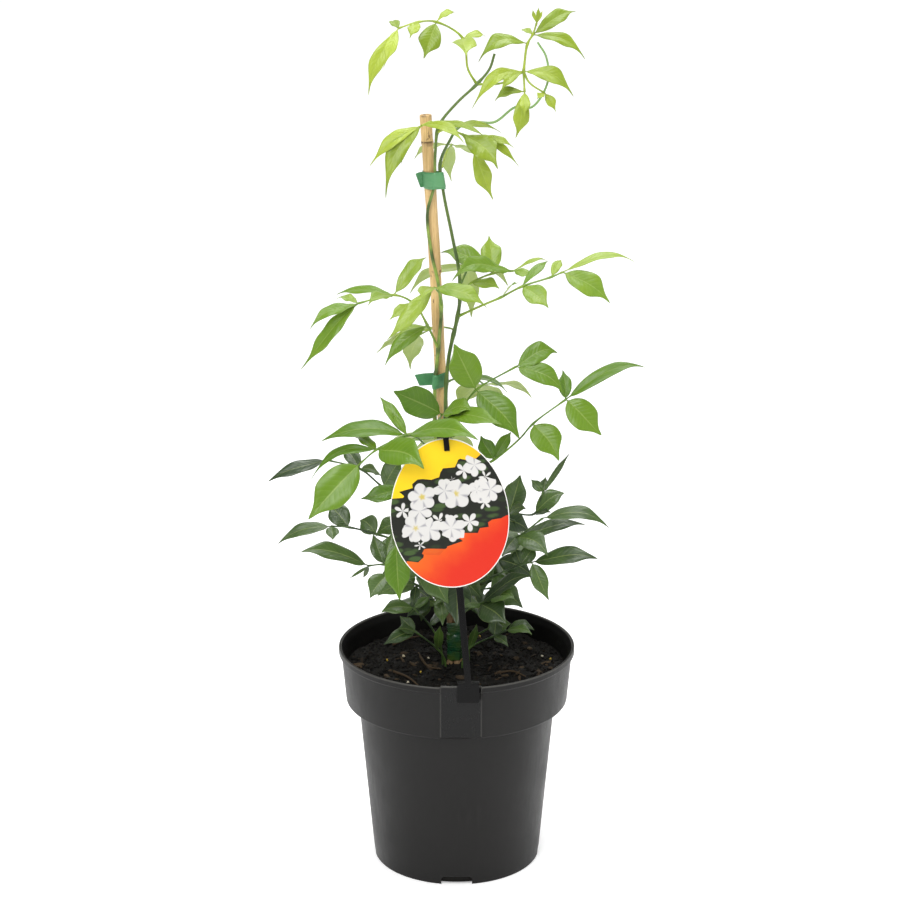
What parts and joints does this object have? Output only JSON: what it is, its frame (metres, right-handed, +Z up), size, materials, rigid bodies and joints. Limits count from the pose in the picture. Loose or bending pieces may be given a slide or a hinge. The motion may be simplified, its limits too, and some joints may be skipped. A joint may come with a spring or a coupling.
{
  "type": "potted climbing plant",
  "caption": "Young climbing vine with compound leaves tied to a cane in a round black nursery pot, with an oval plant label clipped to the rim",
  "frame": {"origin": "centre of the flat underside of the pot, on the surface it stands on", "axes": "+Z up, -Y towards the front, where the plant label hangs, +X to the right seen from the front"},
  "size_m": [0.3078, 0.216, 0.7252],
  "materials": {
    "pot": "satin black, moulded",
    "soil": "dark crumbly potting mix",
    "cane": "dry bamboo with dark nodes",
    "stem": "green, woody at the foot",
    "leaf_young": "glossy lime green",
    "leaf_fresh": "glossy mid green",
    "leaf_dark": "glossy dark green",
    "tape": "green garden tape",
    "holder": "black",
    "card": "printed, white edge"
  },
  "bodies": {
    "root": {"pot": "pot", "soil": "soil", "cane": "cane", "stem_right": "stem", "stem_left": "stem", "frond_top_left": "leaf_young", "frond_top_right": "leaf_young", "frond_crown_left": "leaf_young", "frond_crown_right": "leaf_young", "frond_mid_left": "leaf_fresh", "frond_mid_front": "leaf_fresh", "frond_mid_right": "leaf_fresh", "frond_mid_back": "leaf_fresh", "frond_right_upper": "leaf_fresh", "frond_right_lower": "leaf_fresh", "frond_left_upper": "leaf_fresh", "frond_left_far": "leaf_dark", "frond_left_behind_card": "leaf_fresh", "frond_centre_upper": "leaf_fresh", "frond_low_left_upper": "leaf_dark", "frond_low_left_mid": "leaf_dark", "frond_low_left_low": "leaf_dark", "frond_low_left_front": "leaf_fresh", "frond_low_right_upper": "leaf_dark", "frond_low_right_light": "leaf_dark", "frond_low_right_mid": "leaf_dark", "frond_low_right_low": "leaf_dark", "frond_base_left_high": "leaf_dark", "frond_base_left_low": "leaf_dark", "frond_base_right_low": "leaf_dark", "frond_base_right_high": "leaf_dark", "frond_back_crown": "leaf_young", "frond_back_mid": "leaf_fresh", "frond_back_mid_left": "leaf_fresh", "frond_back_upper": "leaf_fresh", "frond_back_card": "leaf_fresh", "frond_back_low_right": "leaf_dark", "frond_back_low_left": "leaf_dark", "frond_low_centre_left": "leaf_dark", "frond_low_back_left": "leaf_dark", "frond_low_back_right": "leaf_dark", "frond_behind_card_right": "leaf_dark", "tie_low": "tape", "tie_high": "tape", "tie_base": "tape", "label_holder": "holder", "label_card": "card"}
  },
  "joints": []
}
